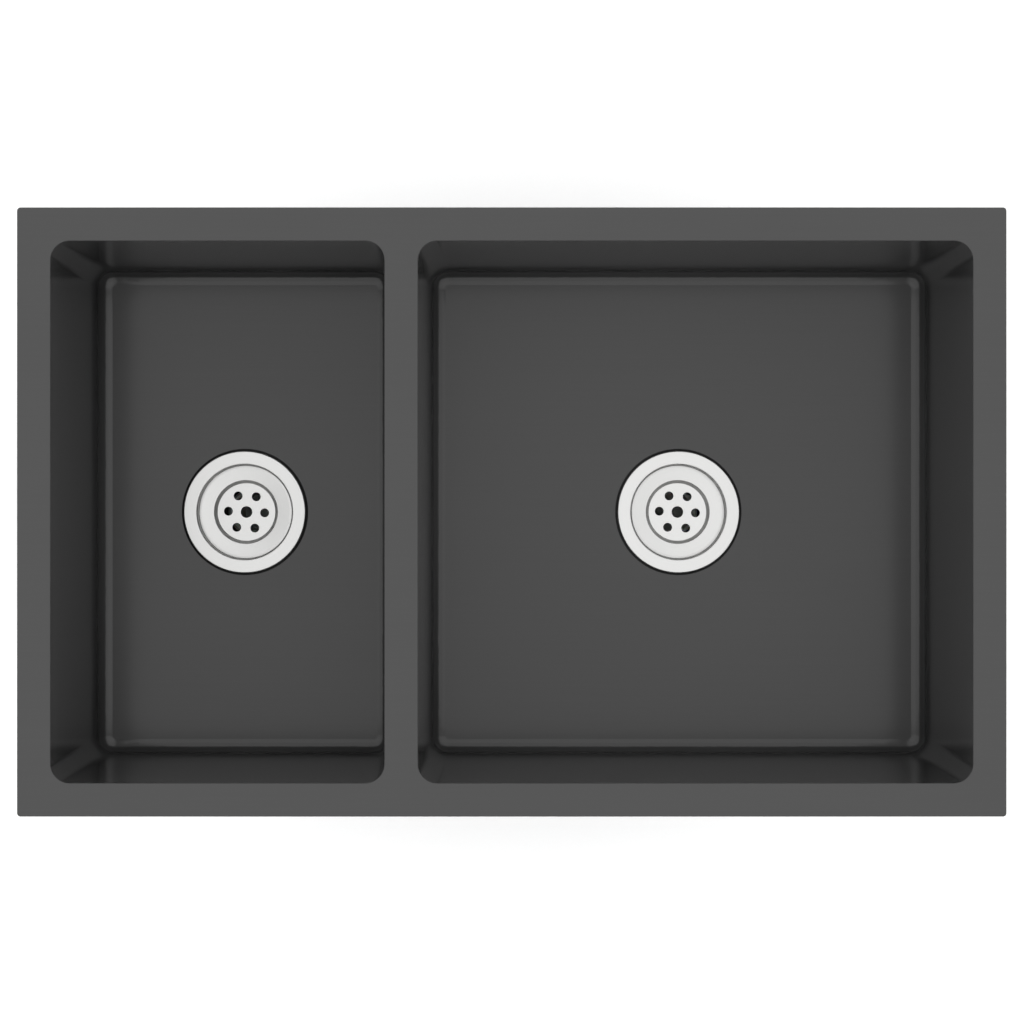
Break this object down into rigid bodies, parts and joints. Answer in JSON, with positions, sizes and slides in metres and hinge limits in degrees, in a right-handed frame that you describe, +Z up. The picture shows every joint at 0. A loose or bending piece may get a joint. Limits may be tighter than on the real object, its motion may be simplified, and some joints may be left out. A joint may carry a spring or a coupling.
{
  "type": "double bowl kitchen sink",
  "caption": "Top-mount kitchen sink with a narrow and a wide rectangular bowl in one flat deck, strainer drains and worktop clips.",
  "frame": {"origin": "middle of the sink's plan on the worktop's surface, the underside of the rim seal", "axes": "+X to the right along the sink's length, +Y to the back, +Z up"},
  "size_m": [0.812, 0.5, 0.3655],
  "materials": {
    "coated_steel": "satin dark grey coating on stainless steel",
    "drain_steel": "finely brushed stainless steel",
    "clip_steel": "zinc-plated",
    "gasket_rubber": "black moulded rubber",
    "seal_foam": "closed-cell foam strip",
    "deadening_pad": "matt butyl rubber",
    "friction_card": "pressed fibre",
    "nut_plastic": "moulded, black",
    "tail_plastic": "moulded, white"
  },
  "bodies": {
    "sink": {"deck_panel": "coated_steel", "small_bowl": "coated_steel", "large_bowl": "coated_steel", "rim_seal": "seal_foam", "clip_studs": "clip_steel", "clip_washers": "clip_steel", "clip_wing_nuts": "clip_steel", "small_bowl_pad_front": "deadening_pad", "small_bowl_pad_back": "deadening_pad", "small_bowl_pad_left": "deadening_pad", "small_bowl_pad_right": "deadening_pad", "large_bowl_pad_front": "deadening_pad", "large_bowl_pad_back": "deadening_pad", "large_bowl_pad_left": "deadening_pad", "large_bowl_pad_right": "deadening_pad", "small_bowl_floor_pad_front": "deadening_pad", "small_bowl_floor_pad_back": "deadening_pad", "large_bowl_floor_pad_left": "deadening_pad", "large_bowl_floor_pad_right": "deadening_pad", "small_drain_body": "drain_steel", "small_flange_gasket": "gasket_rubber", "small_under_gasket": "gasket_rubber", "small_friction_ring": "friction_card", "small_lock_nut": "nut_plastic", "small_tail_washer": "gasket_rubber", "small_coupling_nut": "tail_plastic", "small_tailpiece": "tail_plastic", "large_drain_body": "drain_steel", "large_flange_gasket": "gasket_rubber", "large_under_gasket": "gasket_rubber", "large_friction_ring": "friction_card", "large_lock_nut": "nut_plastic", "large_tail_washer": "gasket_rubber", "large_coupling_nut": "tail_plastic", "large_tailpiece": "tail_plastic"},
    "small_strainer": {"small_strainer": "drain_steel"},
    "large_strainer": {"large_strainer": "drain_steel"},
    "clip_front_left": {"clip_front_left": "clip_steel"},
    "clip_front_middle": {"clip_front_middle": "clip_steel"},
    "clip_front_right": {"clip_front_right": "clip_steel"},
    "clip_back_left": {"clip_back_left": "clip_steel"},
    "clip_back_middle": {"clip_back_middle": "clip_steel"},
    "clip_back_right": {"clip_back_right": "clip_steel"},
    "clip_left": {"clip_left": "clip_steel"},
    "clip_right": {"clip_right": "clip_steel"}
  },
  "joints": [
    {"name": "small_strainer_lift", "type": "slide", "parent": "sink", "child": "small_strainer", "axis": [0, 0, 1], "range_m": [0, 0.24]},
    {"name": "large_strainer_lift", "type": "slide", "parent": "sink", "child": "large_strainer", "axis": [0, 0, 1], "range_m": [0, 0.24]},
    {"name": "clip_front_left_turn", "type": "hinge", "parent": "sink", "child": "clip_front_left", "pos_m": [-0.27, -0.232, -0.0448], "axis": [0, 0, 1], "range_deg": [0, 90]},
    {"name": "clip_front_middle_turn", "type": "hinge", "parent": "sink", "child": "clip_front_middle", "pos_m": [0, -0.232, -0.0448], "axis": [0, 0, 1], "range_deg": [0, 90]},
    {"name": "clip_front_right_turn", "type": "hinge", "parent": "sink", "child": "clip_front_right", "pos_m": [0.27, -0.232, -0.0448], "axis": [0, 0, 1], "range_deg": [0, 90]},
    {"name": "clip_back_left_turn", "type": "hinge", "parent": "sink", "child": "clip_back_left", "pos_m": [-0.27, 0.232, -0.0448], "axis": [0, 0, 1], "range_deg": [0, 90]},
    {"name": "clip_back_middle_turn", "type": "hinge", "parent": "sink", "child": "clip_back_middle", "pos_m": [0, 0.232, -0.0448], "axis": [0, 0, 1], "range_deg": [0, 90]},
    {"name": "clip_back_right_turn", "type": "hinge", "parent": "sink", "child": "clip_back_right", "pos_m": [0.27, 0.232, -0.0448], "axis": [0, 0, 1], "range_deg": [0, 90]},
    {"name": "clip_left_turn", "type": "hinge", "parent": "sink", "child": "clip_left", "pos_m": [-0.388, 0, -0.0448], "axis": [0, 0, 1], "range_deg": [0, 90]},
    {"name": "clip_right_turn", "type": "hinge", "parent": "sink", "child": "clip_right", "pos_m": [0.388, 0, -0.0448], "axis": [0, 0, 1], "range_deg": [0, 90]}
  ]
}
